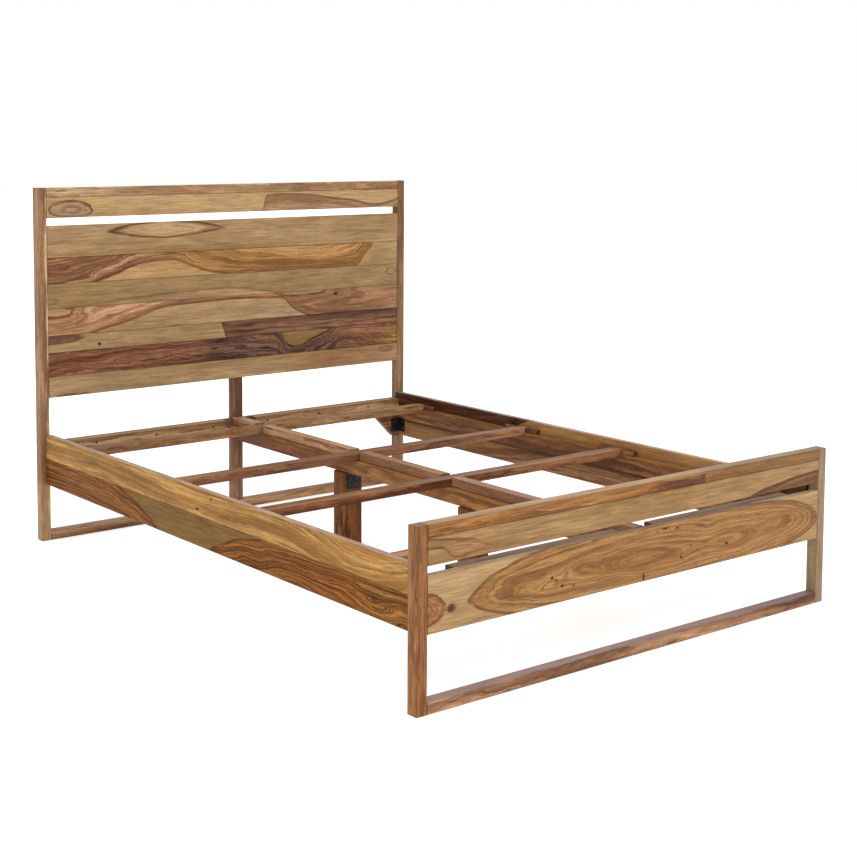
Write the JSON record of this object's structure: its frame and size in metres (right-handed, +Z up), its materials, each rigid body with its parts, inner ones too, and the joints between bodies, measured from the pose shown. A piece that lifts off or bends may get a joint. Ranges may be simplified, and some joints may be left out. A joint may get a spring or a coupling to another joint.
{
  "type": "wooden bed frame",
  "caption": "Queen-size solid-wood bed frame: planked headboard with a slot, low two-board footboard, side rails with ledgers, loose lift-out slats, and a centre beam on legs.",
  "frame": {"origin": "on the floor at the centre of the footprint", "axes": "+Z up, +Y from the footboard towards the headboard, +X to the right seen from the foot of the bed"},
  "size_m": [1.6, 2.155, 1.238],
  "materials": {
    "sapwood": "satin clear lacquer over figured hardwood",
    "golden_wood": "satin clear lacquer over figured hardwood",
    "reddish_wood": "satin clear lacquer over figured hardwood",
    "dark_heartwood": "satin clear lacquer over figured hardwood",
    "brown_wood": "satin clear lacquer over figured hardwood",
    "black_steel": "semi-gloss black paint"
  },
  "bodies": {
    "frame": {"beam_strip_1": "reddish_wood", "beam_strip_2": "reddish_wood", "beam_strip_3": "reddish_wood", "beam_strip_4": "reddish_wood", "beam_strip_5": "reddish_wood", "centre_beam": "brown_wood", "centre_leg_1": "brown_wood", "centre_leg_2": "brown_wood", "corner_bracket_foot_left": "black_steel", "corner_bracket_foot_right": "black_steel", "corner_bracket_head_left": "black_steel", "corner_bracket_head_right": "black_steel", "footboard_floor_runner": "golden_wood", "footboard_ledger_left": "brown_wood", "footboard_ledger_right": "brown_wood", "footboard_lower_panel": "golden_wood", "footboard_post_left": "golden_wood", "footboard_post_right": "golden_wood", "footboard_top_rail": "golden_wood", "footboard_upper_board": "sapwood", "headboard_centre_post": "brown_wood", "headboard_corner_block_left": "brown_wood", "headboard_corner_block_right": "brown_wood", "headboard_floor_runner": "golden_wood", "headboard_ledger_left": "golden_wood", "headboard_ledger_right": "golden_wood", "headboard_lower_rail_left": "brown_wood", "headboard_lower_rail_right": "brown_wood", "headboard_plank_1": "sapwood", "headboard_plank_2": "golden_wood", "headboard_plank_3": "sapwood", "headboard_plank_4": "sapwood", "headboard_plank_5": "dark_heartwood", "headboard_plank_6": "dark_heartwood", "headboard_plank_7": "sapwood", "headboard_post_left": "golden_wood", "headboard_post_right": "golden_wood", "headboard_top_board": "sapwood", "headboard_top_rail": "reddish_wood", "leg_bracket_1": "black_steel", "leg_bracket_2": "black_steel", "side_ledger_left": "brown_wood", "side_ledger_right": "brown_wood", "side_rail_left": "golden_wood", "side_rail_right": "golden_wood", "slat_block_left_1": "brown_wood", "slat_block_left_2": "brown_wood", "slat_block_left_3": "brown_wood", "slat_block_left_4": "brown_wood", "slat_block_left_5": "brown_wood", "slat_block_right_1": "brown_wood", "slat_block_right_2": "brown_wood", "slat_block_right_3": "brown_wood", "slat_block_right_4": "brown_wood", "slat_block_right_5": "brown_wood"},
    "slat_1": {"slat_1": "reddish_wood"},
    "slat_2": {"slat_2": "reddish_wood"},
    "slat_3": {"slat_3": "reddish_wood"},
    "slat_4": {"slat_4": "reddish_wood"}
  },
  "joints": [
    {"name": "slat_1_lift", "type": "slide", "parent": "frame", "child": "slat_1", "axis": [0, 0, 1], "range_m": [0, 0.08]},
    {"name": "slat_2_lift", "type": "slide", "parent": "frame", "child": "slat_2", "axis": [0, 0, 1], "range_m": [0, 0.08]},
    {"name": "slat_3_lift", "type": "slide", "parent": "frame", "child": "slat_3", "axis": [0, 0, 1], "range_m": [0, 0.08]},
    {"name": "slat_4_lift", "type": "slide", "parent": "frame", "child": "slat_4", "axis": [0, 0, 1], "range_m": [0, 0.08]}
  ]
}
